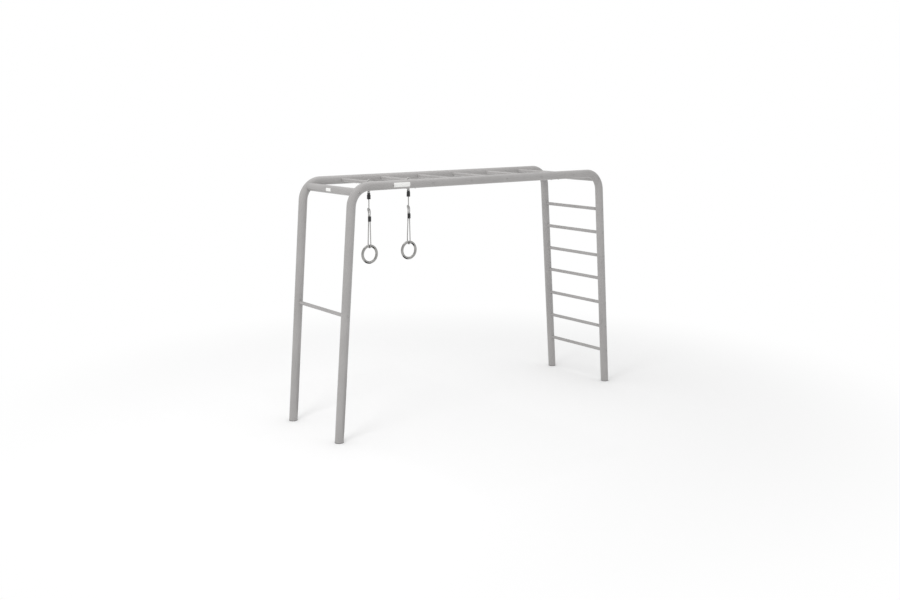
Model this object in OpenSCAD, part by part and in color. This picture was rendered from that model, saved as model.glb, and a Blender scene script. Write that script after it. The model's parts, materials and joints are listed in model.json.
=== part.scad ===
// Monkey bars: a free-standing tube frame with six overhead bars, a ladder at one end,
// a low tumble bar at the other end and two hanging rings.
// The origin is on the floor in the middle of the frame. +X points to the ladder,
// +Y to the rear side frame and +Z up. All sizes are in millimetres.

/* [Side frames] */
// Height of the rail centre line above the floor
rail_z = 2140; // [1900:5:2600]
// Distance along the frame between the leg centre lines at the floor
foot_span = 3204; // [3000:4:3900]
// Distance along the frame between the corners where leg and rail centre lines meet
top_span = 2856; // [2700:4:3460]
// Distance between the front and rear side frames, centre to centre
frame_gap = 785; // [640:5:950]
// Outer diameter of the side frame tube
tube_d = 76; // [62:1:92]
// Wall of the side frame tube
tube_wall = 2.5; // [2:0.5:4]
// Centre-line radius of the corner bends
bend_r = 175; // [145:5:215]

/* [Cross members] */
// Outer diameter of the tube across each end, at the corner bends
cross_d = 68; // [56:1:74]
// Wall of the tube across each end
cross_wall = 2.5; // [2:0.5:4]
// Outer diameter of the overhead bars, ladder rungs and tumble bar
bar_d = 32; // [27:1:38]
// Wall of the overhead bars, ladder rungs and tumble bar
bar_wall = 2; // [1.5:0.5:3]
// Distance between neighbouring overhead bars
bar_pitch = 420; // [350:5:500]
// Height of the lowest ladder rung
first_rung_z = 328; // [270:2:400]
// Distance between the rungs of the lower ladder half
lower_rung_pitch = 250; // [210:5:300]
// Height of the rail centre line above the top ladder rung
top_rung_drop = 358.5; // [300:0.5:430]
// Height of the tumble bar
tumble_bar_z = 1078; // [900:2:1100]

/* [Joints and fasteners] */
// Length of the sleeve inside each tube joint
sleeve_l = 160; // [130:5:190]
// Wall of the sleeve
sleeve_wall = 3; // [2:0.5:4]
// Distance from a tube joint to each of its two screws
joint_screw_offset = 45; // [38:1:54]
// Shank diameter of the bolts that hold the thin bars
bar_bolt_d = 8; // [6:1:10]
// Shank diameter of the bolts that hold the end tubes
cross_bolt_d = 10; // [8:1:12]
// Shank diameter of the joint screws
joint_screw_d = 6; // [5:1:8]
// Length of the threaded plug in the end of each thin bar
bar_plug_l = 30; // [24:1:36]
// Height of the plastic cap under each leg
foot_cap_h = 5; // [4:0.5:8]
// Depth of the part of the cap that sits inside the leg
foot_plug_l = 30; // [20:1:40]

/* [Labels] */
// Length of the blank label on the front rail
rail_label_l = 165; // [150:3:219]
// Height of the blank label on the front rail, round the tube
rail_label_h = 40; // [36:1:55]
// Length of the blank label on the left end tube
end_label_l = 75; // [70:5:110]
// Height of the blank label on the left end tube, round the tube
end_label_h = 28; // [28:1:42]
// Thickness of the labels
label_t = 0.3; // [0.2:0.1:0.6]

/* [Ring hangers] */
// Place of the hangers along their bars, from the middle towards the rear
hanger_y = -60; // [-180:10:180]
// Wire diameter of the snap hook
hook_wire_d = 9; // [7:0.5:9.5]
// Distance from the bar centre down to the centre of the hook's lower bow
hook_reach = 66; // [66:1:86]
// Centre-line radius of the hook's lower bow
hook_low_r = 11.5; // [11.5:0.5:14]
// Turned diameter of the hook's gate
gate_d = 8; // [7:0.5:8.5]
// Rope diameter
rope_d = 10; // [8:0.5:10]
// Diameter of the black sleeve over the upper rope end
ferrule_d = 32; // [31:1:38]
// Height of the black sleeve over the upper rope end
ferrule_h = 54; // [45:1:65]
// Height of the black slider on the lower rope end
slider_h = 44; // [40:1:58]
// Outer diameter of the hand ring
ring_od = 170; // [145:1:209]
// Thickness of the hand ring
ring_tube_d = 24; // [23:1:29]

/* [Hidden] */
$fn = 72;
BAR_COUNT = 6;
RUNG_COUNT = 7;
LOWER_RUNGS = 4;
ENDS = [["left", -1], ["right", 1]];
SIDES = [["front", -1], ["rear", 1]];
HANGERS = ["left", "right"];
CORNERS = [for (s = SIDES) for (e = ENDS) [str(s[0], "_", e[0]), e[1], s[1]]];
HANGER_PARTS = ["hook", "gate", "gate_pin", "thimble", "rope_eye", "ferrule", "rope", "slide_eye",
    "slider", "ring"];

// Clearances
saddle_gap = 0.15;      // between a bar's shaped end and the tube that it sits on
slip_gap = 0.1;         // between a sleeve or plug and the tube round it
bolt_gap = 0.25;        // round a bolt in its clearance hole
pin_gap = 0.05;         // running clearance on the gate pin
hang_gap = 0.3;         // between pieces that hang on each other
ring_seat = 0.5;        // between a rope's lowest bend and the ring that hangs in it
through = 4;            // how far a cutting tool runs past what it cuts
// A bend comes out slightly thinner than the straight tube or wire on each side of it
bend_thinning = 0.5;
wire_thinning = 0.05;

// Side frame
tube_r = tube_d / 2;
tube_bore_r = tube_r - tube_wall;
lean = atan((foot_span - top_span) / 2 / rail_z);
bend_turn = 90 - lean;
bend_reach = bend_r * tan(bend_turn / 2);
bend_x = top_span / 2 - bend_reach;
leg_l = rail_z / cos(lean);
function leg_x(z) = foot_span / 2 - z * tan(lean);
function along_leg(z) = z / cos(lean);

// Places of the cross members
function bar_x(i) = (i - (BAR_COUNT + 1) / 2) * bar_pitch;
top_lower_rung_z = first_rung_z + (LOWER_RUNGS - 1) * lower_rung_pitch;
upper_rung_pitch = (rail_z - top_rung_drop - top_lower_rung_z) / (RUNG_COUNT - LOWER_RUNGS);
function rung_z(i) = i <= LOWER_RUNGS
    ? first_rung_z + (i - 1) * lower_rung_pitch
    : top_lower_rung_z + (i - LOWER_RUNGS) * upper_rung_pitch;
leg_joint_z = top_lower_rung_z + upper_rung_pitch / 2;
rail_joint_x = (bar_x(BAR_COUNT) + bar_x(BAR_COUNT - 1)) / 2;
mid_bend = lean + bend_turn / 2;
end_tube_x = bend_x + bend_r * cos(mid_bend);
end_tube_z = rail_z - bend_r + bend_r * sin(mid_bend);
bar_r = bar_d / 2;
cross_r = cross_d / 2;

// Fasteners
plug_inset = 1;
label_gap = 0.1;
bolt_bite = bar_plug_l - 6;
bar_bolt_head = [2 * bar_bolt_d, 0.55 * bar_bolt_d];
cross_bolt_head = [2 * cross_bolt_d, 0.55 * cross_bolt_d];
joint_screw_head = [1.9 * joint_screw_d, 0.5 * joint_screw_d];
joint_screw_l = tube_wall + sleeve_wall + 5;
socket_share = 0.28;

// Ring hangers, in depths below the centre of the bar that they hang on
hook_r = hook_wire_d / 2;
hook_top_r = bar_r + hang_gap + hook_r;
hook_slope = asin((hook_top_r - hook_low_r) / hook_reach);
hook_side_l = hook_reach * cos(hook_slope);
hook_eye_drop = hook_reach + hook_low_r;
hinge_up = 9;
gate_sweep = 43;
hinge_disc_r = 6;
gate_gap = 0.5;
tongue_t = 3.8;
slot_t = 4.4;
gate_pin_r = 1.5;
thimble_t = 0.9;
rope_r = rope_d / 2;
rope_bore_gap = 0.1;
eye_r = hook_r + hang_gap + thimble_t + rope_bore_gap + rope_r;
ferrule_drop = hook_eye_drop + 11.5;
ferrule_neck_h = 17;
ferrule_neck_t = 14;
rope_bite = 10;
slider_drop = 293;
slider_y = -7;
slider_half_w = 5.5;
slider_wall = 4.5;
ring_r = (ring_od - ring_tube_d) / 2;
rope_sides = 10;

// Route of each ring rope, as x and y from the bar's middle and the depth below the bar:
// down from the upper sleeve, round the ring and up into the slider
ROPE_ROUTE = [
    [0, 0, 136], [0, 0, 169], [0, 0, 204], [0, 1.5, 234], [0, 5, 260], [0, 8.5, 286],
    [0, 9.5, 314], [0, 9.5, 341], [0, 11, 369], [0, 13, 399], [0, 15, 429], [0, 17, 459],
    [0, 19, 489], [0, 20.5, 519], [0, 20.5, 548], [0, 17.5, 558.5], [0, 10, 565.5],
    [0, 0, 567.5], [0, -10, 565.5], [0, -17.5, 558.5], [0, -20.5, 548], [0, -20.5, 519],
    [0.5, -19, 489], [1.5, -16.5, 454], [3, -13, 419], [4.5, -10, 384], [5.5, -7.5, 356],
    [5.5, -7, 339], [5.5, -7, 324]
];
// Depth of the centre of the ring's top, which hangs in the lowest bend of the rope
ring_drop = max([for (p = ROPE_ROUTE) p.z]) - rope_r - ring_seat - ring_tube_d / 2;
// Half of the route of the eye that slides on the rope, from inside the slider to its middle
EYE_ROUTE_HALF = [
    [5.5, -7, 306], [5.5, -7, 292], [8.5, -5.5, 264], [10.5, -1, 242], [9.5, 6, 230],
    [5.5, 10.5, 225]
];
EYE_ROUTE = concat(
    EYE_ROUTE_HALF,
    [[0, 12, 223]],
    [for (i = [len(EYE_ROUTE_HALF) - 1:-1:0])
        [-EYE_ROUTE_HALF[i].x, EYE_ROUTE_HALF[i].y, EYE_ROUTE_HALF[i].z]]
);

// ---- Helpers ----

// Puts a shape that is drawn for the right end at one of the four corners
module at_corner(end, side) {
    rotate([0, 0, end > 0 ? 0 : 180])
        translate([0, end * side * frame_gap / 2, 0])
            children();
}

// Stands a shape that is drawn along Z on the foot of the right leg, along the leg
module along_right_leg() {
    translate([foot_span / 2, 0, 0])
        rotate([0, -lean, 0])
            children();
}

// A tube along Z
module tube(r, wall, l) {
    linear_extrude(l)
        difference() {
            circle(r);
            circle(r - wall);
        }
}

// A rod along Y, centred on its middle
module rod_y(r, l) {
    rotate([90, 0, 0])
        cylinder(r = r, h = l, center = true);
}

// Sweeps a round cord along points; across is a direction that the cord never runs along
module swept_cord(points, r, sides, across) {
    last = len(points) - 1;
    function unit(v) = v / norm(v);
    rings = [for (i = [0:last])
        let (
            along = unit(points[min(i + 1, last)] - points[max(i - 1, 0)]),
            u = unit(across - (across * along) * along),
            v = cross(along, u)
        )
        [for (k = [0:sides - 1])
            points[i] + r * cos(360 * k / sides) * u + r * sin(360 * k / sides) * v]];
    walls = [for (i = [0:last - 1]) for (k = [0:sides - 1])
        let (a = i * sides + k, b = i * sides + (k + 1) % sides)
        [a, a + sides, b + sides, b]];
    polyhedron(
        points = [for (ring = rings) for (p = ring) p],
        faces = concat(
            [[for (k = [0:sides - 1]) k]],
            walls,
            [[for (k = [sides - 1:-1:0]) last * sides + k]]
        ),
        convexity = 6
    );
}

// A button-head bolt: the head sits on z = 0 and the shank points down
module button_bolt(d, head, l) {
    difference() {
        union() {
            rotate_extrude()
                polygon([[0, 0], [head[0] / 2, 0], [head[0] / 2, head[1] * 0.4],
                    [head[0] * 0.34, head[1]], [0, head[1]]]);
            translate([0, 0, -l])
                cylinder(d = d, h = l + 0.01);
        }
        translate([0, 0, head[1] * 0.35])
            cylinder(r = head[0] * socket_share, h = head[1], $fn = 6);
    }
}

// ---- Side frames ----

// The outside of a side frame at the right end, for shaping the bars that meet it
module leg_outside(grow) {
    along_right_leg()
        translate([0, 0, -through])
            cylinder(r = tube_r + grow, h = leg_l - bend_reach + through);
}

// A round bar of radius r along the bend's centre line
module bend_bar(r) {
    translate([bend_x, 0, rail_z - bend_r])
        rotate([90, 0, 0])
            rotate([0, 0, lean])
                rotate_extrude(angle = bend_turn)
                    translate([bend_r, 0])
                        circle(r);
}

// A round bar of radius r from the leg joint over the bend to the rail joint. Its straight
// parts run a little way into the bend, and past the two joints by extra.
module corner_bar(r, extra) {
    joint = along_leg(leg_joint_z);
    overlap = 2;
    bend_bar(r - bend_thinning);
    along_right_leg()
        translate([0, 0, joint - extra])
            cylinder(r = r, h = leg_l - bend_reach - joint + overlap + extra);
    translate([rail_joint_x - extra, 0, rail_z])
        rotate([0, 90, 0])
            cylinder(r = r, h = bend_x - rail_joint_x + overlap + extra);
}

module rail_outside(grow) {
    translate([-foot_span / 2, 0, rail_z])
        rotate([0, 90, 0])
            cylinder(r = tube_r + grow, h = foot_span);
}

// Holes for joint screws, in the face towards the other side frame or under the rail
module leg_screw_holes(inward, sides_of_joint, r) {
    along_right_leg()
        for (s = sides_of_joint)
            translate([0, 0, along_leg(leg_joint_z) + s * joint_screw_offset])
                rotate([-90 * inward, 0, 0])
                    cylinder(r = r, h = tube_d);
}

module rail_screw_holes(sides_of_joint, r) {
    for (s = sides_of_joint)
        translate([rail_joint_x + s * joint_screw_offset, 0, rail_z - tube_d])
            cylinder(r = r, h = tube_d);
}

// Rung and bar holes through both walls of the right end of a side frame
module bolt_holes(places, d) {
    for (p = places)
        translate([p.x, 0, p.y])
            rod_y(d / 2 + bolt_gap, tube_d + 2 * through);
}

lower_rung_places = [for (i = [1:LOWER_RUNGS]) [leg_x(rung_z(i)), rung_z(i)]];
upper_rung_places = [for (i = [LOWER_RUNGS + 1:RUNG_COUNT]) [leg_x(rung_z(i)), rung_z(i)]];
tumble_place = [leg_x(tumble_bar_z), tumble_bar_z];
outer_bar_place = [bar_x(BAR_COUNT), rail_z];
centre_bar_places = [for (i = [2:BAR_COUNT - 1]) [bar_x(i), rail_z]];
end_tube_place = [end_tube_x, end_tube_z];

module corner_tube(end, side) {
    color("darkgray")
        at_corner(end, side)
            difference() {
                corner_bar(tube_r, 0);
                corner_bar(tube_bore_r, through);
                leg_screw_holes(-end * side, [1], joint_screw_d / 2 + bolt_gap);
                rail_screw_holes([1], joint_screw_d / 2 + bolt_gap);
                bolt_holes([outer_bar_place], bar_bolt_d);
                bolt_holes([end_tube_place], cross_bolt_d);
                bolt_holes(end > 0 ? upper_rung_places : [], bar_bolt_d);
            }
}

module leg(end, side) {
    color("darkgray")
        at_corner(end, side)
            difference() {
                along_right_leg()
                    translate([0, 0, -tube_d])
                        tube(tube_r, tube_wall, along_leg(leg_joint_z) + tube_d);
                translate([foot_span / 2 - tube_d, -tube_d, foot_cap_h - 3 * tube_d])
                    cube([2 * tube_d, 2 * tube_d, 3 * tube_d]);
                leg_screw_holes(-end * side, [-1], joint_screw_d / 2 + bolt_gap);
                bolt_holes(end > 0 ? lower_rung_places : [tumble_place], bar_bolt_d);
            }
}

module foot_cap(end, side) {
    color("dimgray")
        at_corner(end, side)
            difference() {
                along_right_leg() {
                    translate([0, 0, -tube_r])
                        cylinder(r = tube_bore_r - slip_gap, h = tube_r + foot_plug_l);
                    translate([0, 0, -tube_r])
                        cylinder(r = tube_r, h = tube_r + 2 * foot_cap_h);
                }
                // Flat underside on the floor, and a flat seat for the end of the leg
                translate([foot_span / 2 - tube_d, -tube_d, -2 * tube_d])
                    cube([2 * tube_d, 2 * tube_d, 2 * tube_d]);
                difference() {
                    translate([foot_span / 2 - tube_d, -tube_d, foot_cap_h])
                        cube([2 * tube_d, 2 * tube_d, tube_d]);
                    along_right_leg()
                        translate([0, 0, -tube_r])
                            cylinder(r = tube_bore_r - slip_gap, h = tube_d + foot_plug_l);
                }
            }
}

module centre_rail(side) {
    color("darkgray")
        translate([0, side * frame_gap / 2, 0])
            difference() {
                translate([-rail_joint_x, 0, rail_z])
                    rotate([0, 90, 0])
                        tube(tube_r, tube_wall, 2 * rail_joint_x);
                bolt_holes(centre_bar_places, bar_bolt_d);
                for (turn = [0, 180])
                    rotate([0, 0, turn])
                        rail_screw_holes([-1], joint_screw_d / 2 + bolt_gap);
            }
}

// ---- Cross members ----

// A tube from one side frame to the other at the right end, with its ends still to be shaped
module cross_blank(place, r, wall) {
    translate([place.x, frame_gap / 2, place.y])
        rotate([90, 0, 0])
            tube(r, wall, frame_gap);
}

module end_tube(end) {
    color("darkgray")
        rotate([0, 0, end > 0 ? 0 : 180])
            difference() {
                cross_blank(end_tube_place, cross_r, cross_wall);
                for (y = [-1, 1])
                    translate([0, y * frame_gap / 2, 0])
                        bend_bar(tube_r + saddle_gap);
            }
}

module overhead_bar(i) {
    color("darkgray")
        difference() {
            cross_blank([bar_x(i), rail_z], bar_r, bar_wall);
            for (y = [-1, 1])
                translate([0, y * frame_gap / 2, 0])
                    rail_outside(saddle_gap);
        }
}

module leg_bar(z) {
    difference() {
        cross_blank([leg_x(z), z], bar_r, bar_wall);
        for (y = [-1, 1])
            translate([0, y * frame_gap / 2, 0])
                leg_outside(saddle_gap);
    }
}

module ladder_rung(i) {
    color("darkgray")
        leg_bar(rung_z(i));
}

module tumble_bar() {
    color("darkgray")
        rotate([0, 0, 180])
            leg_bar(tumble_bar_z);
}

// ---- Joints and fasteners ----

module rail_sleeves() {
    color("silver")
        for (s = SIDES)
            for (turn = [0, 180])
                translate([0, s[1] * frame_gap / 2, 0])
                    rotate([0, 0, turn])
                        difference() {
                            translate([rail_joint_x - sleeve_l / 2, 0, rail_z])
                                rotate([0, 90, 0])
                                    tube(tube_bore_r - slip_gap, sleeve_wall, sleeve_l);
                            rail_screw_holes([-1, 1], joint_screw_d / 2 + pin_gap);
                        }
}

module leg_sleeves() {
    color("silver")
        for (c = CORNERS)
            at_corner(c[1], c[2])
                difference() {
                    along_right_leg()
                        translate([0, 0, along_leg(leg_joint_z) - sleeve_l / 2])
                            tube(tube_bore_r - slip_gap, sleeve_wall, sleeve_l);
                    leg_screw_holes(-c[1] * c[2], [-1, 1], joint_screw_d / 2 + pin_gap);
                }
}

module joint_screw() {
    button_bolt(joint_screw_d, joint_screw_head, joint_screw_l);
}

module joint_screws() {
    color("darkgray") {
        for (c = CORNERS)
            at_corner(c[1], c[2])
                along_right_leg()
                    for (s = [-1, 1])
                        translate([0, -c[1] * c[2] * tube_r,
                                along_leg(leg_joint_z) + s * joint_screw_offset])
                            rotate([90 * c[1] * c[2], 0, 0])
                                joint_screw();
        for (s = SIDES)
            for (turn = [0, 180])
                translate([0, s[1] * frame_gap / 2, 0])
                    rotate([0, 0, turn])
                        for (step = [-1, 1])
                            translate([rail_joint_x + step * joint_screw_offset, 0,
                                    rail_z - tube_r])
                                rotate([180, 0, 0])
                                    joint_screw();
    }
}

// Every place where a thin bar meets a side frame, as x and z
BAR_PLACES = concat(
    [for (i = [1:BAR_COUNT]) [bar_x(i), rail_z]],
    lower_rung_places,
    upper_rung_places,
    [[-tumble_place.x, tumble_place.y]]
);

// A threaded plug inside the rear end of a bar, drawn at the bar's place
module end_plug(bar_bore_r, bolt_d) {
    translate([0, frame_gap / 2 - tube_r - plug_inset, 0])
        rotate([90, 0, 0])
            difference() {
                cylinder(r = bar_bore_r - pin_gap, h = bar_plug_l);
                translate([0, 0, -through])
                    cylinder(r = bolt_d / 2 + pin_gap, h = bar_plug_l + 2 * through);
            }
}

module rear_bolt(bolt_d, head) {
    translate([0, frame_gap / 2 + tube_r, 0])
        rotate([-90, 0, 0])
            button_bolt(bolt_d, head, tube_d + plug_inset + bolt_bite);
}

module bar_plugs() {
    color("silver")
        for (p = BAR_PLACES)
            for (turn = [0, 180])
                translate([p.x, 0, p.y])
                    rotate([0, 0, turn])
                        end_plug(bar_r - bar_wall, bar_bolt_d);
}

module bar_bolts() {
    color("darkgray")
        for (p = BAR_PLACES)
            for (turn = [0, 180])
                translate([p.x, 0, p.y])
                    rotate([0, 0, turn])
                        rear_bolt(bar_bolt_d, bar_bolt_head);
}

module end_tube_plugs() {
    color("silver")
        for (e = ENDS)
            for (turn = [0, 180])
                translate([e[1] * end_tube_x, 0, end_tube_z])
                    rotate([0, 0, turn])
                        end_plug(cross_r - cross_wall, cross_bolt_d);
}

module end_tube_bolts() {
    color("darkgray")
        for (e = ENDS)
            for (turn = [0, 180])
                translate([e[1] * end_tube_x, 0, end_tube_z])
                    rotate([0, 0, turn])
                        rear_bolt(cross_bolt_d, cross_bolt_head);
}

// A thin label bent round a tube: it runs along Z and faces +X
module bent_label(r, l, h) {
    turn = 180 * h / (PI * r);
    rotate([0, 0, -turn / 2])
        rotate_extrude(angle = turn)
            translate([r + label_gap, -l / 2])
                square([label_t, l]);
}

module rail_label() {
    label_x = bar_x(1) + 1.5 * bar_bolt_d + rail_label_l / 2;
    color("white")
        translate([label_x, -frame_gap / 2, rail_z])
            rotate([0, 90, 0])
                rotate([0, 0, -90])
                    bent_label(tube_r, rail_label_l, rail_label_h);
}

module end_label() {
    color("white")
        translate([-end_tube_x, 0, end_tube_z])
            rotate([90, 0, 0])
                rotate([0, 0, 180])
                    bent_label(cross_r, end_label_l, end_label_h);
}

// ---- Ring hangers ----

// Puts a shape that is drawn round the bar's centre at the bar that the hanger hangs on
module on_bar(hanger) {
    bar = hanger == "left" ? 1 : 2;
    translate([bar_x(bar), hanger_y, rail_z])
        children();
}

// Lower end of the straight side of the hook that has the gate, with Z along that side
module at_gate_side() {
    translate([-hook_low_r * cos(hook_slope), 0, -hook_reach - hook_low_r * sin(hook_slope)])
        rotate([0, -hook_slope, 0])
            children();
}

module at_hinge() {
    at_gate_side()
        translate([0, 0, hinge_up])
            children();
}

// Part of a ring in the X-Z plane, from one angle to another
module bow(r, from_angle, to_angle) {
    rotate([90, 0, 0])
        rotate([0, 0, from_angle])
            rotate_extrude(angle = to_angle - from_angle)
                translate([r, 0])
                    circle(hook_r - wire_thinning, $fn = 32);
}

module hook() {
    bow_overlap = 0.4;
    nose_start = hinge_up + 0.8 * gate_sweep;
    color("silver")
        difference() {
            union() {
                bow(hook_top_r, -hook_slope, 180 + hook_slope);
                translate([0, 0, -hook_reach])
                    bow(hook_low_r, -180 + hook_slope, -hook_slope);
                mirror([1, 0, 0])
                    at_gate_side()
                        translate([0, 0, -bow_overlap])
                            cylinder(r = hook_r, h = hook_side_l + 2 * bow_overlap);
                at_gate_side()
                    translate([0, 0, -bow_overlap])
                        cylinder(r = hook_r, h = hinge_up + bow_overlap);
                at_hinge()
                    rod_y(hinge_disc_r, hook_wire_d);
                at_gate_side()
                    translate([0, 0, nose_start])
                        cylinder(r = hook_r, h = hook_side_l - nose_start + bow_overlap);
            }
            at_hinge() {
                rod_y(hinge_disc_r + gate_gap, slot_t);
                intersection() {
                    rod_y(gate_sweep, 2 * hook_wire_d);
                    translate([-gate_sweep / 4, -hook_wire_d, gate_sweep / 2])
                        cube([gate_sweep / 2, 2 * hook_wire_d, gate_sweep]);
                }
                rod_y(gate_pin_r + pin_gap / 2, 2 * hook_wire_d);
            }
        }
}

module gate() {
    color("silver")
        at_hinge()
            difference() {
                union() {
                    intersection() {
                        cylinder(r = gate_d / 2, h = 2 * gate_sweep);
                        rod_y(gate_sweep - gate_gap, 2 * hook_wire_d);
                        difference() {
                            translate([-gate_sweep, -gate_sweep, 0])
                                cube(2 * gate_sweep);
                            rod_y(hinge_disc_r + 2 * gate_gap, 3 * hook_wire_d);
                        }
                    }
                    rod_y(hinge_disc_r - gate_gap, tongue_t);
                    translate([-3, -tongue_t / 2, 0])
                        cube([6, tongue_t, hinge_disc_r + 4]);
                }
                rod_y(gate_pin_r + pin_gap, 2 * hook_wire_d);
            }
}

module gate_pin() {
    color("dimgray")
        at_hinge()
            rod_y(gate_pin_r, hook_wire_d + 0.8);
}

module thimble() {
    wrap = 200;
    color("silver")
        translate([0, 0, -hook_eye_drop])
            rotate([0, 90, 0])
                rotate([0, 0, 180 - wrap / 2])
                    rotate_extrude(angle = wrap)
                        translate([eye_r, 0])
                            intersection() {
                                difference() {
                                    circle(rope_r + rope_bore_gap + thimble_t, $fn = 32);
                                    circle(rope_r + rope_bore_gap, $fn = 32);
                                }
                                translate([-eye_r, -eye_r])
                                    square([eye_r, 2 * eye_r]);
                            }
}

module rope_eye() {
    leg_drop = ferrule_drop + rope_bite - hook_eye_drop;
    color("lightgray")
        translate([0, 0, -hook_eye_drop])
            rotate([90, 0, 90]) {
                rotate_extrude(angle = 180)
                    translate([eye_r, 0])
                        circle(rope_r, $fn = 32);
                for (side = [-1, 1])
                    translate([side * eye_r, 0, 0])
                        rotate([90, 0, 0])
                            cylinder(r = rope_r, h = leg_drop, $fn = 32);
            }
}

module ferrule() {
    r = ferrule_d / 2;
    body_h = ferrule_h - ferrule_neck_h;
    color("black")
        translate([0, 0, -ferrule_drop - ferrule_h])
            difference() {
                union() {
                    rotate_extrude()
                        polygon([[0, 0], [r - 3, 0], [r, 3], [r, body_h - 3], [r - 3, body_h],
                            [0, body_h]]);
                    intersection() {
                        cylinder(r = r, h = ferrule_h);
                        translate([-ferrule_neck_t / 2, -r, body_h / 2])
                            cube([ferrule_neck_t, 2 * r, ferrule_h]);
                    }
                }
                for (side = [-1, 1])
                    translate([0, side * eye_r, ferrule_h - rope_bite])
                        cylinder(r = rope_r + rope_bore_gap, h = rope_bite + 1);
                translate([0, 0, -1])
                    cylinder(r = rope_r + rope_bore_gap, h = rope_bite + 1);
            }
}

module rope() {
    color("lightgray")
        swept_cord([for (p = ROPE_ROUTE) [p.x, p.y, -p.z]], rope_r, rope_sides, [1, 0, 0]);
}

module slide_eye() {
    color("lightgray")
        swept_cord([for (p = EYE_ROUTE) [p.x, p.y, -p.z]], rope_r, rope_sides, [0, 1, -0.3]);
}

module slider() {
    half_t = rope_r + slider_wall;
    color("black")
        translate([0, slider_y, -slider_drop - slider_h])
            difference() {
                union() {
                    for (side = [-1, 1])
                        translate([side * slider_half_w, 0, 0])
                            cylinder(r = half_t, h = slider_h);
                    translate([-slider_half_w, -half_t, 0])
                        cube([2 * slider_half_w, 2 * half_t, slider_h]);
                }
                for (side = [-1, 1])
                    translate([side * slider_half_w, 0, -1])
                        cylinder(r = rope_r + 2 * rope_bore_gap, h = slider_h + 2);
            }
}

module ring() {
    color("gainsboro")
        translate([0, 0, -ring_drop - ring_r])
            rotate([90, 0, 0])
                rotate_extrude()
                    translate([ring_r, 0])
                        circle(ring_tube_d / 2);
}

// ---- The assembly ----

for (c = CORNERS) {
    corner_tube(c[1], c[2]);
    leg(c[1], c[2]);
    foot_cap(c[1], c[2]);
}
for (s = SIDES)
    centre_rail(s[1]);
for (e = ENDS)
    end_tube(e[1]);
for (i = [1:BAR_COUNT])
    overhead_bar(i);
for (i = [1:RUNG_COUNT])
    ladder_rung(i);
tumble_bar();
rail_sleeves();
leg_sleeves();
joint_screws();
bar_plugs();
bar_bolts();
end_tube_plugs();
end_tube_bolts();
rail_label();
end_label();
for (h = HANGERS) {
    on_bar(h) hook();
    on_bar(h) gate();
    on_bar(h) gate_pin();
    on_bar(h) thimble();
    on_bar(h) rope_eye();
    on_bar(h) ferrule();
    on_bar(h) rope();
    on_bar(h) slide_eye();
    on_bar(h) slider();
    on_bar(h) ring();
}
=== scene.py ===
# %% [markdown]
# # Monkey bars
# The real object is a steel climbing frame: two bent side frames carry six overhead bars, a
# ladder at one end, a low tumble bar at the other and two hand rings on ropes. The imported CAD
# model gives every piece its size and place, so this lesson only dresses it: it adds the
# camera, the ropes, the moulded and bent pieces that deserve a finer mesh, the finishes and
# the studio. All lengths are in metres.

# %% Load the CAD frame
import json
import math

import bmesh
import bpy
from mathutils import Matrix, Vector
from mathutils.geometry import interpolate_bezier


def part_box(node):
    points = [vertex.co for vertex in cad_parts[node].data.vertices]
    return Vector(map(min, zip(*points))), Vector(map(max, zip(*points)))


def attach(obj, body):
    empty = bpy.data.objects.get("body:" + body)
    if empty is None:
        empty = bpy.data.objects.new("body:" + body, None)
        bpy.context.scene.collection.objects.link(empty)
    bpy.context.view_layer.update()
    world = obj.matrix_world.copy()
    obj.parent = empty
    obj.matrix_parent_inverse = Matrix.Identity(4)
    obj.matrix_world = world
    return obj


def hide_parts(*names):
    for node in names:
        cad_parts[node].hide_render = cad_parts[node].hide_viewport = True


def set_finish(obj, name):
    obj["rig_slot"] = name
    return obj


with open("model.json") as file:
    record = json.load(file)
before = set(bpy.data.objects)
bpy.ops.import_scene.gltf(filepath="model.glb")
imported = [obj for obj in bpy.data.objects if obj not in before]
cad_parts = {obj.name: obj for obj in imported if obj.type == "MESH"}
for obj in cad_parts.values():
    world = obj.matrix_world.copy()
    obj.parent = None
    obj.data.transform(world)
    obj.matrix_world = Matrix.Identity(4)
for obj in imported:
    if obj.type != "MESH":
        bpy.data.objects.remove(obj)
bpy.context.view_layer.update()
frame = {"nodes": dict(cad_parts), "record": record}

nodes = frame["nodes"]
HANGERS = ["left", "right"]
MM = 0.001

# %% [markdown]
# ## Camera
# The camera stands in front of the frame, past the tumble bar's end and a little above the
# rails, and looks slightly down. A lens of about 40 mm keeps the perspective of the far
# ladder gentle.

# %% Camera
LENS_MM = 40.55
SENSOR_MM = 36
CAMERA_PLACE = (-5.870, -7.4235, 2.8036)
CAMERA_TILT = math.radians(79.067)
CAMERA_TURN = math.radians(-37.784)
camera_data = bpy.data.cameras.new("camera")
camera_data.lens = LENS_MM
camera_data.sensor_width = SENSOR_MM
camera = bpy.data.objects.new("camera", camera_data)
camera.location = CAMERA_PLACE
camera.rotation_euler = (CAMERA_TILT, 0, CAMERA_TURN)
bpy.context.scene.collection.objects.link(camera)
bpy.context.scene.camera = camera
print("camera", [round(v, 2) for v in camera.location], "lens", camera_data.lens)

# %% [markdown]
# ## Small helpers
# A piece here is a mesh whose place is in its vertices, on an object that sits at the
# origin. One helper turns a bmesh into such an object, one names its body and its finish, two
# give the middle and the size of a CAD node's box, and one writes millimetres as metres.

# %% Helpers for pieces
def mm(value):
    return value * MM


def middle(node):
    low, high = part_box(node)
    return (low + high) / 2


def extent(node):
    low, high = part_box(node)
    return high - low


def new_piece(name, bm, smooth_angle=40):
    mesh = bpy.data.meshes.new(name)
    bm.to_mesh(mesh)
    bm.free()
    mesh.shade_smooth()
    mesh.set_sharp_from_angle(angle=math.radians(smooth_angle))
    piece = bpy.data.objects.new(name, mesh)
    bpy.context.scene.collection.objects.link(piece)
    return piece


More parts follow.
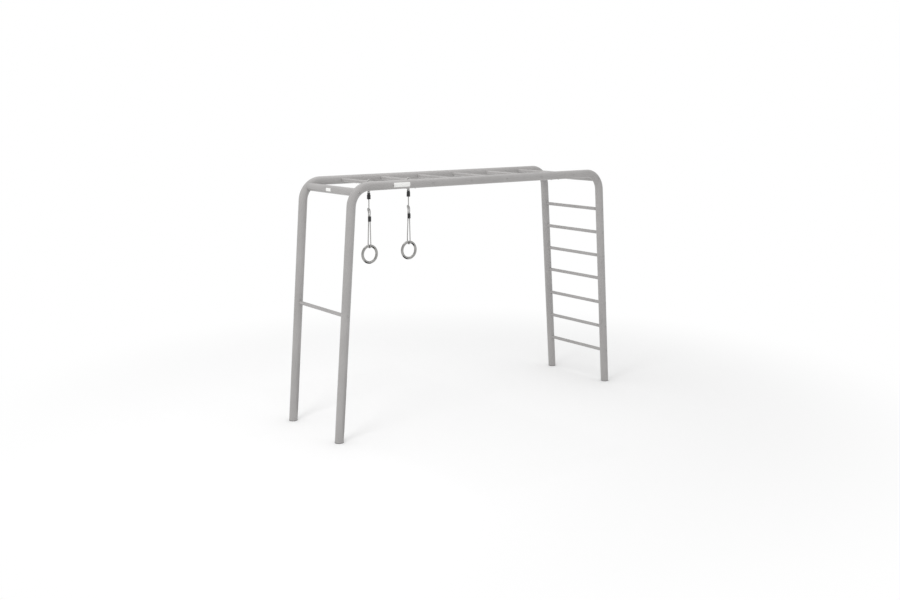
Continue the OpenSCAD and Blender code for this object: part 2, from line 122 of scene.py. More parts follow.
def dress(piece, body, slot, *replaced):
    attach(piece, body)
    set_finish(piece, slot)
    if replaced:
        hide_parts(*replaced)
    print(piece.name, "vertices", len(piece.data.vertices), "rides on", body)
    return piece


print("rail centre height", round(middle("centre_rail_front").z, 4))

# %% [markdown]
# ## Ropes
# Each ring hangs on braided polyester rope, 10 mm thick and about 0.70 m long. It comes out
# of the upper black sleeve, runs down behind the slider, goes under the ring and comes back
# up into the slider. The rope is under the ring's small weight, so it hangs nearly
# straight, and it bends no tighter than two diameters. Its points are the ones that the CAD
# model uses, written as x, y and the depth below the bar. A smooth line through them is cut
# into short equal steps, because a braid needs evenly spaced rings.

# %% Routes of the ropes
ROPE_D = mm(10)
ROPE_ROUTE = [
    (0, 0, 0.136), (0, 0, 0.169), (0, 0, 0.204), (0, 0.0015, 0.234), (0, 0.005, 0.260),
    (0, 0.0085, 0.286), (0, 0.0095, 0.314), (0, 0.0095, 0.341), (0, 0.011, 0.369),
    (0, 0.013, 0.399), (0, 0.015, 0.429), (0, 0.017, 0.459), (0, 0.019, 0.489),
    (0, 0.0205, 0.519), (0, 0.0205, 0.548), (0, 0.0175, 0.5585), (0, 0.010, 0.5655),
    (0, 0, 0.5675), (0, -0.010, 0.5655), (0, -0.0175, 0.5585), (0, -0.0205, 0.548),
    (0, -0.0205, 0.519), (0.0005, -0.019, 0.489), (0.0015, -0.0165, 0.454),
    (0.003, -0.013, 0.419), (0.0045, -0.010, 0.384), (0.0055, -0.0075, 0.356),
    (0.0055, -0.007, 0.339), (0.0055, -0.007, 0.324),
]
EYE_ROUTE_HALF = [
    (0.0055, -0.007, 0.306), (0.0055, -0.007, 0.292), (0.0085, -0.0055, 0.264),
    (0.0105, -0.001, 0.242), (0.0095, 0.006, 0.230), (0.0055, 0.0105, 0.225),
]
EYE_TOP = (0, 0.012, 0.223)
EYE_ROUTE = EYE_ROUTE_HALF + [EYE_TOP] + [(-x, y, depth) for x, y, depth in EYE_ROUTE_HALF[::-1]]
CUTS_BETWEEN_POINTS = 24


def hang_point(hanger):
    """The bar's centre, straight above the middle of the ring."""
    bar = {"left": "overhead_bar_1", "right": "overhead_bar_2"}[hanger]
    ring = middle(hanger + "_ring")
    return Vector((ring.x, ring.y, middle(bar).z))


def route_of(points, hanger):
    top = hang_point(hanger)
    return [top + Vector((x, y, -depth)) for x, y, depth in points]


def line_length(points):
    return sum((b - a).length for a, b in zip(points, points[1:]))


def smooth_line(points, step):
    """A curve through the points, cut into equal steps."""
    fine = []
    last = len(points) - 1
    for i in range(last):
        before = points[max(i - 1, 0)]
        after = points[min(i + 2, last)]
        start, end = points[i], points[i + 1]
        third = (end - start).length / 3
        leave = (end - before).normalized() * third
        arrive = (after - start).normalized() * third
        fine += interpolate_bezier(start, start + leave, end - arrive, end, CUTS_BETWEEN_POINTS)[:-1]
    fine.append(points[-1])
    count = round(line_length(fine) / step)
    spacing = line_length(fine) / count
    even = [fine[0]]
    travelled = 0.0
    for a, b in zip(fine, fine[1:]):
        piece = (b - a).length
        while len(even) < count and travelled + piece >= len(even) * spacing:
            even.append(a.lerp(b, (len(even) * spacing - travelled) / piece))
        travelled += piece
    even.append(fine[-1])
    return even


print("rope length", round(line_length(route_of(ROPE_ROUTE, "left")), 3))
print("eye length", round(line_length(route_of(EYE_ROUTE, "left")), 3))

# %% [markdown]
# ## A braid from a plain tube
# The jacket of a sixteen-plait rope has eight strands wound each way, and every strand goes
# over one of the others and under the next. A plain tube with a pattern painted on it would
# look flat, and sixteen separate strands would be heavy. So a curve with a round bevel gives
# the tube, and each of its vertices then moves in or out by where it is in the braid. The
# same two numbers, the turn round the rope and the length along it, go into a UV map for the
# yarn pattern, and the height goes into an attribute that darkens the colour in the grooves as painted
# shade.

# %% Braided rope
BRAID_STRANDS = 8
BRAID_LAY = mm(34)
BRAID_RELIEF = mm(0.75)
BRAID_SIDES = 48
BRAID_STEP = mm(0.85)
STRAND_ROUNDING = 0.9
STRAND_DIP = 0.45


def braid_height(turn, along):
    """About 0.2 in the deepest grooves and 1 on top of a strand, for a turn from 0 to 1."""
    one_way = BRAID_STRANDS * (turn + along / BRAID_LAY)
    other_way = BRAID_STRANDS * (turn - along / BRAID_LAY)
    u = 2 * (one_way - math.floor(one_way)) - 1
    v = 2 * (other_way - math.floor(other_way)) - 1
    if (math.floor(one_way) + math.floor(other_way)) % 2:
        u, v = v, u
    return math.sqrt(1 - STRAND_ROUNDING * u * u) * (1 - STRAND_DIP * v * v)


def plain_tube(name, line, radius, sides):
    """A closed round tube along a line, as a mesh whose vertices come ring by ring."""
    curve = bpy.data.curves.new(name + "_line", "CURVE")
    curve.dimensions = "3D"
    curve.bevel_depth = radius
    curve.bevel_resolution = sides // 2 - 2
    curve.use_fill_caps = True
    spline = curve.splines.new("POLY")
    spline.points.add(len(line) - 1)
    for point, place in zip(spline.points, line):
        point.co = (*place, 1)
    holder = bpy.data.objects.new(name + "_line", curve)
    mesh = bpy.data.meshes.new_from_object(holder)
    bpy.data.objects.remove(holder)
    bpy.data.curves.remove(curve)
    return mesh


def braided_rope(name, line, radius):
    mesh = plain_tube(name, line, radius, BRAID_SIDES)
    step = line_length(line) / (len(line) - 1)
    strand = mesh.attributes.new("strand_height", "FLOAT", "POINT")
    for i in range(len(line) * BRAID_SIDES):
        ring, side = divmod(i, BRAID_SIDES)
        vertex = mesh.vertices[i]
        outward = vertex.co - line[ring]
        height = braid_height(side / BRAID_SIDES, ring * step)
        strand.data[i].value = height
        vertex.co = line[ring] + outward.normalized() * (radius - BRAID_RELIEF * (1 - height))
    uv = mesh.uv_layers.new(name="UVMap")
    for face in mesh.polygons:
        sides = [mesh.loops[k].vertex_index % BRAID_SIDES for k in face.loop_indices]
        wraps = max(sides) - min(sides) > BRAID_SIDES // 2
        for k, side in zip(face.loop_indices, sides):
            ring = mesh.loops[k].vertex_index // BRAID_SIDES
            turn = side + (BRAID_SIDES if wraps and side < BRAID_SIDES // 2 else 0)
            uv.data[k].uv = (turn / BRAID_SIDES, ring * step)
    mesh.shade_smooth()
    rope = bpy.data.objects.new(name, mesh)
    bpy.context.scene.collection.objects.link(rope)
    return rope


rope_lines = {}
for hanger in HANGERS:
    line = smooth_line(route_of(ROPE_ROUTE, hanger), BRAID_STEP)
    rope = braided_rope(hanger + "_hanging_rope", line, ROPE_D / 2)
    dress(rope, hanger + "_rope_body", "rope_fibre", hanger + "_rope")
    rope_lines[hanger] = line
print("rope rings", len(rope_lines["left"]))

# %% [markdown]
# ## Rope eyes
# Two short eyes are spliced to the rope. The upper one lies in a metal thimble over the bow
# of the snap hook and ends in the black sleeve. The lower one is the sliding eye: it comes
# out of the slider, goes round the rope and back, and it is what lets a child's parent set
# the ring's height. Both are held at their two ends, so they are pieces on the rope.

# %% Upper eyes and sliding eyes
ARC_STEPS = 16


def thimble_line(hanger):
    """Up one side, half a turn over the hook's bow and down the other side."""
    low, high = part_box(hanger + "_rope_eye")
    eye_r = (high.y - low.y) / 2 - ROPE_D / 2
    centre = Vector(((low.x + high.x) / 2, (low.y + high.y) / 2, high.z - eye_r - ROPE_D / 2))
    turns = [math.pi * i / ARC_STEPS for i in range(ARC_STEPS + 1)]
    arc = [centre + eye_r * Vector((0, math.cos(turn), math.sin(turn))) for turn in turns]
    front = Vector((arc[0].x, arc[0].y, low.z))
    rear = Vector((arc[-1].x, arc[-1].y, low.z))
    return [front] + arc + [rear]


for hanger in HANGERS:
    upper_line = smooth_line(thimble_line(hanger), BRAID_STEP)
    upper = braided_rope(hanger + "_thimble_eye", upper_line, ROPE_D / 2)
    lower_line = smooth_line(route_of(EYE_ROUTE, hanger), BRAID_STEP)
    lower = braided_rope(hanger + "_sliding_eye", lower_line, ROPE_D / 2)
    dress(upper, hanger + "_rope_body", "rope_fibre", hanger + "_rope_eye")
    dress(lower, hanger + "_rope_body", "rope_fibre", hanger + "_slide_eye")

# %% [markdown]
# ## Moulded nylon pieces
# Each hanger has a black sleeve above and a black slider below, both moulded nylon. Moulded
# pieces have no sharp edges, so each is put together from simple bmesh shapes, its rope
# holes are cut with a Boolean, and a Bevel modifier rounds the rims. The Boolean's result
# goes back into a bmesh, so that no helper object is left.

# %% Helpers for moulded pieces
RIM_ROUND = mm(0.9)
RIM_STEPS = 3
CUT_PAST = mm(2)
SAME_PLACE = mm(0.01)
ROUND_SIDES = 64


def cylinder_bm(radius, low, high, x=0.0, y=0.0):
    bm = bmesh.new()
    bmesh.ops.create_cone(
        bm, cap_ends=True, cap_tris=False, segments=ROUND_SIDES, radius1=radius, radius2=radius,
        depth=high - low, matrix=Matrix.Translation((x, y, (low + high) / 2)),
    )
    return bm


def with_cutters(name, bm, cutters, operation="DIFFERENCE"):
    """The bmesh's shape with each cutter taken away from it, or joined to it."""
    piece = new_piece(name, bm)
    helpers = []
    for i, cutter in enumerate(cutters):
        helper = new_piece(f"{name}_cutter_{i}", cutter)
        modifier = piece.modifiers.new("boolean", "BOOLEAN")
        modifier.operation = operation
        modifier.solver = "EXACT"
        modifier.object = helper
        helpers.append(helper)
    bpy.context.view_layer.update()
    shape = piece.evaluated_get(bpy.context.evaluated_depsgraph_get())
    mesh = bpy.data.meshes.new_from_object(shape)
    result = bmesh.new()
    result.from_mesh(mesh)
    for gone in helpers + [piece]:
        bpy.data.objects.remove(gone)
    bmesh.ops.dissolve_limit(
        result, angle_limit=math.radians(0.5), verts=result.verts, edges=result.edges
    )
    return result


def round_rims(piece):
    bevel = piece.modifiers.new("rounded rims", "BEVEL")
    bevel.width = RIM_ROUND
    bevel.segments = RIM_STEPS
    bevel.limit_method = "ANGLE"
    bevel.angle_limit = math.radians(50)


print("moulded rims are rounded by", RIM_ROUND)

# %% [markdown]
# ### Upper sleeve
# The sleeve is a round body with two grip grooves and a flat neck, where the two legs of the
# eye go in. It is moulded round them, so its holes grip the crowns of the braid. The body is
# a profile spun round, which gives the grooves at once, and the neck is a block with its
# upright edges bevelled.

# %% Upper sleeve
MOULD_GRIP = mm(0.2)
GROOVE_DEPTH = mm(0.8)
GROOVE_WIDTH = mm(3)
GROOVE_PITCH = mm(12)
NECK_HEIGHT = mm(17)
NECK_THICK = mm(14)
NECK_INSET = mm(0.2)
NECK_ROOT = mm(8)
NECK_CORNER = mm(4)
LEG_HOLE_DEPTH = mm(10)
ROPE_HOLE_DEPTH = mm(9)


def sleeve_body(radius, low, high):
    """A turned body with two shallow grip grooves."""
    bm = bmesh.new()
    heights = [low]
    radii = [radius]
    centre = (low + high) / 2
    bottom_r = radius - GROOVE_DEPTH
    for groove_z in (centre - GROOVE_PITCH / 2, centre + GROOVE_PITCH / 2):
        heights += [groove_z + share * GROOVE_WIDTH for share in (-1 / 2, -1 / 4, 1 / 4, 1 / 2)]
        radii += [radius, bottom_r, bottom_r, radius]
    heights.append(high)
    radii.append(radius)
    profile = [bm.verts.new((0, 0, low))]
    profile += [bm.verts.new((r, 0, z)) for r, z in zip(radii, heights)]
    profile.append(bm.verts.new((0, 0, high)))
    edges = [bm.edges.new(pair) for pair in zip(profile, profile[1:])]
    bmesh.ops.spin(
        bm, geom=profile + edges, cent=(0, 0, 0), axis=(0, 0, 1), dvec=(0, 0, 0),
        angle=2 * math.pi, steps=ROUND_SIDES, use_merge=True, use_duplicate=False,
    )
    bmesh.ops.remove_doubles(bm, verts=bm.verts, dist=SAME_PLACE)
    bmesh.ops.recalc_face_normals(bm, faces=bm.faces)
    return bm


def neck_block(thick, wide, low, high):
    bm = bmesh.new()
    bmesh.ops.create_cube(
        bm, size=1, matrix=Matrix.Translation((0, 0, (low + high) / 2))
        @ Matrix.Diagonal((thick, wide, high - low, 1)),
    )
    uprights = [e for e in bm.edges if abs(e.verts[0].co.z - e.verts[1].co.z) > SAME_PLACE]
    bmesh.ops.bevel(
        bm, geom=uprights, offset=NECK_CORNER, offset_type="OFFSET", affect="EDGES", segments=6,
        profile=0.5, material=-1, clamp_overlap=True,
    )
    return bm


def upper_sleeve(hanger):
    low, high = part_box(hanger + "_ferrule")
    radius = (high.x - low.x) / 2
    eye_low, eye_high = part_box(hanger + "_rope_eye")
    leg_y = (eye_high.y - eye_low.y) / 2 - ROPE_D / 2
    height = high.z - low.z
    hole = ROPE_D / 2 - MOULD_GRIP
    body = sleeve_body(radius, 0, height - NECK_HEIGHT)
    block = neck_block(NECK_THICK, 2 * radius - NECK_INSET, NECK_ROOT, height)
    joined = with_cutters("sleeve", body, [block], "UNION")
    leg_hole = (hole, height - LEG_HOLE_DEPTH, height + CUT_PAST)
    holes = [cylinder_bm(*leg_hole, y=side * leg_y) for side in (-1, 1)]
    holes.append(cylinder_bm(hole, -CUT_PAST, ROPE_HOLE_DEPTH))
    bm = with_cutters("sleeve", joined, holes)
    bmesh.ops.translate(bm, verts=bm.verts, vec=((low.x + high.x) / 2, (low.y + high.y) / 2, low.z))
    sleeve = new_piece(hanger + "_rope_sleeve", bm, smooth_angle=45)
    round_rims(sleeve)
    return dress(sleeve, hanger + "_rope_body", "black_plastic", hanger + "_ferrule")


print("sleeve grooves", GROOVE_DEPTH, "deep, holes", ROPE_D - 2 * MOULD_GRIP, "wide")

# %% [markdown]
# ### Slider
# The slider is two round channels side by side, with room for the ropes to slide. Two
# cylinders could be joined with a Boolean, but one outline gives cleaner faces. It is a
# circle with its two halves pulled apart and its waist pinched a little where the channels
# meet, and it is extruded upwards.

# %% Slider
HOLE_GAP = mm(0.3)
SLIDER_WAIST = 0.82


def slider_block(hanger):
    low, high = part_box(hanger + "_slider")
    half_t = (high.y - low.y) / 2
    channel = (high.x - low.x) / 2 - half_t
    height = high.z - low.z
    bm = bmesh.new()
    bmesh.ops.create_circle(bm, cap_ends=True, segments=ROUND_SIDES, radius=half_t)
    for vertex in bm.verts:
        if abs(vertex.co.x) > SAME_PLACE:
            vertex.co.x += math.copysign(channel, vertex.co.x)
        else:
            vertex.co.y *= SLIDER_WAIST
    raised = bmesh.ops.extrude_face_region(bm, geom=bm.faces[:])
    bmesh.ops.translate(
        bm, verts=[g for g in raised["geom"] if isinstance(g, bmesh.types.BMVert)],
        vec=(0, 0, height),
    )
    bmesh.ops.recalc_face_normals(bm, faces=bm.faces)
    hole = ROPE_D / 2 + HOLE_GAP
    holes = [cylinder_bm(hole, -CUT_PAST, height + CUT_PAST, x=side * channel) for side in (-1, 1)]
    bm = with_cutters("slider", bm, holes)
    bmesh.ops.translate(bm, verts=bm.verts, vec=((low.x + high.x) / 2, (low.y + high.y) / 2, low.z))
    block = new_piece(hanger + "_height_slider", bm, smooth_angle=45)
    round_rims(block)
    return dress(block, hanger + "_rope_body", "black_plastic", hanger + "_slider")


fittings = {h: [upper_sleeve(h), slider_block(h)] for h in HANGERS}

for hanger in HANGERS:
    line = rope_lines[hanger]
    print(hanger, "rope length", round(line_length(line), 3))

# %% [markdown]
# ## Hand rings
# Each ring is moulded plastic, 24 mm thick, and chrome plated afterwards. Its two mould
# halves meet in the ring's own plane, which leaves a fine line round the outside and round
# the inside. A ready-made torus has no such line. So a circle is spun once round the ring's
# axis, after its vertices on the parting plane are raised a little.

# %% Hand rings
PARTING_RIDGE = mm(0.12)
RING_SIDES = 48
RING_STEPS = 160


def hand_ring(hanger):
    low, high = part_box(hanger + "_ring")
    tube_r = (high.y - low.y) / 2
    ring_r = (high.x - low.x) / 2 - tube_r
    bm = bmesh.new()
    section = bmesh.ops.create_circle(
        bm, cap_ends=False, segments=RING_SIDES, radius=tube_r,
        matrix=Matrix.Translation((ring_r, 0, 0)),
    )
    for vertex in section["verts"]:
        if abs(vertex.co.y) < SAME_PLACE:
            vertex.co.x += math.copysign(PARTING_RIDGE, vertex.co.x - ring_r)
    bmesh.ops.spin(
        bm, geom=bm.verts[:] + bm.edges[:], cent=(0, 0, 0), axis=(0, 1, 0), dvec=(0, 0, 0),
        angle=2 * math.pi, steps=RING_STEPS, use_merge=True, use_duplicate=False,
    )
    bmesh.ops.recalc_face_normals(bm, faces=bm.faces)
    bmesh.ops.translate(bm, verts=bm.verts, vec=(low + high) / 2)
    ring = new_piece(hanger + "_hand_ring", bm, smooth_angle=60)
    return dress(ring, hanger + "_ring_body", "ring_plastic", hanger + "_ring")


for hanger in HANGERS:
    hand_ring(hanger)

# %% [markdown]
# ## Side frames
# A side frame is five lengths of 76 mm tube: two legs, two bent corners and the rail
# between them. The bends have to look perfectly round, so the tubes are made again with
# more sides than the CAD mesh has. Their sizes are read from the CAD nodes: the slope of the
# ladder gives the legs' lean, and the middle of the bend, where the end tube is, gives the
# bend's radius.

# %% Sizes of the side frames
tube_d = extent("centre_rail_front").z
tube_r = tube_d / 2
rail_z = middle("centre_rail_front").z
rail_joint_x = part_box("centre_rail_front")[1].x
side_y = {"front": middle("centre_rail_front").y, "rear": middle("centre_rail_rear").y}
foot_x = max(abs(m["pos_m"][0]) for m in frame["record"]["mounts"] if m["kind"] == "flat_face")
low_rung = middle("ladder_rung_1")
top_rung = middle("ladder_rung_7")
lean = math.atan2(low_rung.x - top_rung.x, top_rung.z - low_rung.z)
bend_turn = math.pi / 2 - lean
corner_x = foot_x - rail_z * math.tan(lean)
mid_bend = middle("end_tube_right")
past_bend = math.hypot(corner_x - mid_bend.x, rail_z - mid_bend.z)
bend_r = past_bend / (1 / math.cos(bend_turn / 2) - 1)
bend_x = corner_x - bend_r * math.tan(bend_turn / 2)
bend_centre = Vector((bend_x, 0, rail_z - bend_r))
leg_joint_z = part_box("leg_front_right")[1].z - tube_r * math.sin(lean)
foot_cap_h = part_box("leg_front_right")[0].z
up_leg = Vector((-math.sin(lean), 0, math.cos(lean)))
leg_joint = Vector((foot_x - leg_joint_z * math.tan(lean), 0, leg_joint_z))
print("lean", round(math.degrees(lean), 2), "degrees, bend radius", round(bend_r, 4))
print("leg joint height", round(leg_joint_z, 4))

# %% [markdown]
# ### Steps of a tube
# Each tube starts as a circle of edges that is extruded along the tube. An end that meets
# another tube gets a tiny chamfer, so a fine seam shows where the two meet. The wall is
# given last, to the whole skin at once.

# %% Helpers for tubes
TUBE_SIDES = 72
TUBE_WALL = mm(2.5)
SEAM = mm(0.5)
WELD = mm(0.005)


def ring_of_edges(bm, place, axis, radius):
    turn = Vector((0, 0, 1)).rotation_difference(axis).to_matrix().to_4x4()
    bmesh.ops.create_circle(
        bm, cap_ends=False, segments=TUBE_SIDES, radius=radius,
        matrix=Matrix.Translation(place) @ turn,
    )
    return bm.edges[:]


def pull_ring(bm, edges, move, centre=None, scale=1.0):
    """Extrudes a ring of edges by a move, and scales the new ring about its own centre."""
    pulled = bmesh.ops.extrude_edge_only(bm, edges=edges)["geom"]
    verts = [g for g in pulled if isinstance(g, bmesh.types.BMVert)]
    bmesh.ops.translate(bm, verts=verts, vec=move)
    if centre is not None:
        bmesh.ops.scale(bm, verts=verts, vec=(scale,) * 3, space=Matrix.Translation(-(centre + move)))
    return [g for g in pulled if isinstance(g, bmesh.types.BMEdge)]


def straight_run(bm, edges, start, along, length, seam_first, seam_last):
    """Extrudes a ring along a straight stretch, with a chamfer at each end that has a seam."""
    place = start.copy()
    if seam_first:
        edges = pull_ring(bm, edges, along * SEAM, place, tube_r / (tube_r - SEAM))
        place += along * SEAM
        length -= SEAM
    main = length - SEAM if seam_last else length
    edges = pull_ring(bm, edges, along * main)
    place += along * main
    if seam_last:
        edges = pull_ring(bm, edges, along * SEAM, place, (tube_r - SEAM) / tube_r)
    return edges


def finish_tube(name, bm, half_turn, side):
    """Gives the tube its wall and moves it to its end and side of the frame."""
    bmesh.ops.remove_doubles(bm, verts=bm.verts, dist=WELD)
    bmesh.ops.recalc_face_normals(bm, faces=bm.faces)
    bmesh.ops.solidify(bm, geom=bm.faces[:], thickness=TUBE_WALL)
    bmesh.ops.recalc_face_normals(bm, faces=bm.faces)
    if half_turn:
        bmesh.ops.rotate(bm, verts=bm.verts, cent=(0, 0, 0), matrix=Matrix.Rotation(math.pi, 3, "Z"))
    bmesh.ops.translate(bm, verts=bm.verts, vec=(0, side_y[side], 0))
    return new_piece(name, bm, smooth_angle=35)


print("tubes have", TUBE_SIDES, "sides and a wall of", TUBE_WALL)

# %% [markdown]
# ### Bent corners
# A corner is the upper leg, the bend and the end of the rail in one tube. A curve with a
# round bevel could make it, but then its ends could have no chamfer. So the ring of edges is
# extruded up the leg, spun round the bend's centre and extruded along the rail. All corners
# are made as the right one, and a half turn makes the left ones.

# %% Bent corners
BEND_STEPS = 28
TO_THE_LEFT = Vector((-1, 0, 0))


def bent_corner(end, side):
    bm = bmesh.new()
    leg_end = bend_centre + bend_r * Vector((math.cos(lean), 0, math.sin(lean)))
    edges = ring_of_edges(bm, leg_joint, up_leg, tube_r - SEAM)
    edges = straight_run(
        bm, edges, leg_joint, up_leg, (leg_end - leg_joint).length, seam_first=True, seam_last=False,
    )
    ring_verts = list({v for e in edges for v in e.verts})
    spun = bmesh.ops.spin(
        bm, geom=ring_verts + edges, cent=bend_centre, axis=(0, -1, 0),
        dvec=(0, 0, 0), angle=bend_turn, steps=BEND_STEPS, use_merge=False, use_duplicate=False,
    )
    edges = [g for g in spun["geom_last"] if isinstance(g, bmesh.types.BMEdge)]
    rail_start = Vector((bend_x, 0, rail_z))
    straight_run(
        bm, edges, rail_start, TO_THE_LEFT, bend_x - rail_joint_x, seam_first=False, seam_last=True,
    )
    corner = finish_tube(f"bent_corner_{side}_{end}", bm, end == "left", side)
    return dress(corner, "frame", "frame_paint", f"corner_tube_{side}_{end}")


print("a corner turns", round(math.degrees(bend_turn), 2), "degrees")

# %% [markdown]
# ### Legs and rails
# A leg leans, but its foot is sawn level. Cutting it with a plane gives that slanted end at
# any lean, so the tube first runs down past the floor and is then cut where the foot cap
# starts. A rail is a straight tube with a seam at both ends.

# %% Legs and rails
def straight_leg(end, side):
    bm = bmesh.new()
    past_floor = leg_joint_z / math.cos(lean) + tube_r
    edges = ring_of_edges(bm, leg_joint, -up_leg, tube_r - SEAM)
    straight_run(bm, edges, leg_joint, -up_leg, past_floor, seam_first=True, seam_last=False)
    bmesh.ops.recalc_face_normals(bm, faces=bm.faces)
    bmesh.ops.bisect_plane(
        bm, geom=bm.verts[:] + bm.edges[:] + bm.faces[:], plane_co=(0, 0, foot_cap_h),
        plane_no=(0, 0, -1), clear_outer=True,
    )
    leg = finish_tube(f"straight_leg_{side}_{end}", bm, end == "left", side)
    return dress(leg, "frame", "frame_paint", f"leg_{side}_{end}")


def straight_rail(side):
    bm = bmesh.new()
    start = Vector((-rail_joint_x, 0, rail_z))
    along = -TO_THE_LEFT
    edges = ring_of_edges(bm, start, along, tube_r - SEAM)
    straight_run(bm, edges, start, along, 2 * rail_joint_x, seam_first=True, seam_last=True)
    rail = finish_tube(f"straight_rail_{side}", bm, False, side)
    return dress(rail, "frame", "frame_paint", "centre_rail_" + side)


for side in side_y:
    straight_rail(side)
for side in side_y:
    for end in ("left", "right"):
        bent_corner(end, side)
        straight_leg(end, side)

# %% [markdown]
# ## Labels
# Two blank vinyl labels are stuck on the paint, one on the front rail and one on the left
# end tube. A Shrinkwrap modifier could press them on, but it would stretch their corners. So
# a label is a flat grid with rounded corners that is rolled round the tube by angle and then
# given its thickness.

# %% Labels
LABEL_T = mm(0.25)
LABEL_GAP = mm(0.12)
LABEL_CORNER = mm(5)
LABEL_CELLS = (72, 24)


def rolled_label(name, node, length_axis, tube_centre, radius, facing):
    """A label whose length runs along an axis, rolled round a tube, facing outwards."""
    low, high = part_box(node)
    length = (high - low).dot(length_axis)
    across = length_axis.cross(facing)
    chord = (high - low).dot(Vector(map(abs, across)))
    height = 2 * radius * math.asin(chord / 2 / radius)
    flat_x = length / 2 - LABEL_CORNER
    flat_y = height / 2 - LABEL_CORNER
    bm = bmesh.new()
    bmesh.ops.create_grid(
        bm, x_segments=LABEL_CELLS[0], y_segments=LABEL_CELLS[1], size=0.5,
        matrix=Matrix.Diagonal((length, height, 1, 1)),
    )
    for vertex in bm.verts:
        over_x = abs(vertex.co.x) - flat_x
        over_y = abs(vertex.co.y) - flat_y
        if over_x > 0 and over_y > 0 and math.hypot(over_x, over_y) > LABEL_CORNER:
            shrink = LABEL_CORNER / math.hypot(over_x, over_y)
            vertex.co.x = math.copysign(flat_x + over_x * shrink, vertex.co.x)
            vertex.co.y = math.copysign(flat_y + over_y * shrink, vertex.co.y)
    centre = Vector(tube_centre)
    for vertex in bm.verts:
        turn = vertex.co.y / radius
        place = centre + length_axis * vertex.co.x
        vertex.co = place + radius * (facing * math.cos(turn) + across * math.sin(turn))
    bmesh.ops.recalc_face_normals(bm, faces=bm.faces)
    if bm.faces[:][0].normal.dot(facing) < 0:
        bmesh.ops.reverse_faces(bm, faces=bm.faces)
    bmesh.ops.solidify(bm, geom=bm.faces[:], thickness=-LABEL_T)
    bmesh.ops.recalc_face_normals(bm, faces=bm.faces)
    return dress(new_piece(name, bm, smooth_angle=50), "frame", "label_vinyl", node)


rail_centre = (middle("rail_label").x, side_y["front"], rail_z)
end_centre = (-mid_bend.x, middle("end_label").y, mid_bend.z)
end_tube_r = extent("end_tube_left").z / 2
rolled_label(
    "front_rail_sticker", "rail_label", length_axis=Vector((1, 0, 0)), tube_centre=rail_centre,
    radius=tube_r + LABEL_GAP, facing=Vector((0, -1, 0)),
)
rolled_label(
    "end_tube_sticker", "end_label", length_axis=Vector((0, 1, 0)), tube_centre=end_centre,
    radius=end_tube_r + LABEL_GAP, facing=TO_THE_LEFT,
)

# %% [markdown]
# ## Finishes
# Colours are picked as sRGB hex values and one function makes them linear. Another small
# function adds a node with its settings and links. Pattern scales are worked out from real
# sizes: a noise of scale 1000 / 2 has features about 2 mm wide.

# %% Helpers for finishes
def linear(hex_colour):
    channels = [int(hex_colour[i:i + 2], 16) / 255 for i in (1, 3, 5)]
    return (*[c / 12.92 if c <= 0.04045 else ((c + 0.055) / 1.055) ** 2.4 for c in channels], 1)


def per_mm(size):
    return 1000 / size


def add_node(tree, kind, values=None, links=None, **settings):
    node = tree.nodes.new(kind)
    for name, value in settings.items():
        setattr(node, name, value)
    for name, value in (values or {}).items():
        node.inputs[name].default_value = value
    for name, socket in (links or {}).items():
        tree.links.new(socket, node.inputs[name])
    return node


def new_finish(name, **values):
    material = bpy.data.materials.new(name)
    material.use_nodes = True
    tree = material.node_tree
    tree.nodes.clear()
    shader = add_node(tree, "ShaderNodeBsdfPrincipled", values=values)
    add_node(tree, "ShaderNodeOutputMaterial", links={"Surface": shader.outputs["BSDF"]})
    return material, tree, shader


def two_tone(tree, factor, dark, light):
    """A ramp from a dark to a light colour, driven by a pattern."""
    ramp = add_node(tree, "ShaderNodeValToRGB", links={"Fac": factor})
    ramp.color_ramp.elements[0].color = linear(dark)
    ramp.color_ramp.elements[1].color = linear(light)
    return ramp


print("the frame's grey #9A9897 is", [round(c, 3) for c in linear("#9A9897")[:3]], "in linear light")

# %% [markdown]
# ### Powder coat
# The frame is steel with a baked polyester powder coat in a warm light grey. Powder melts
# into a skin with a faint orange peel, a couple of millimetres across, and a satin gloss.
# Noise in object coordinates gives this without seams, so nothing has to be unwrapped.
# Hands polish the thin bars in the middle, so their coat is a little smoother there.

# %% Powder coat
SPECK_SHARE = 0.35
POLISHED_HALF = 0.30


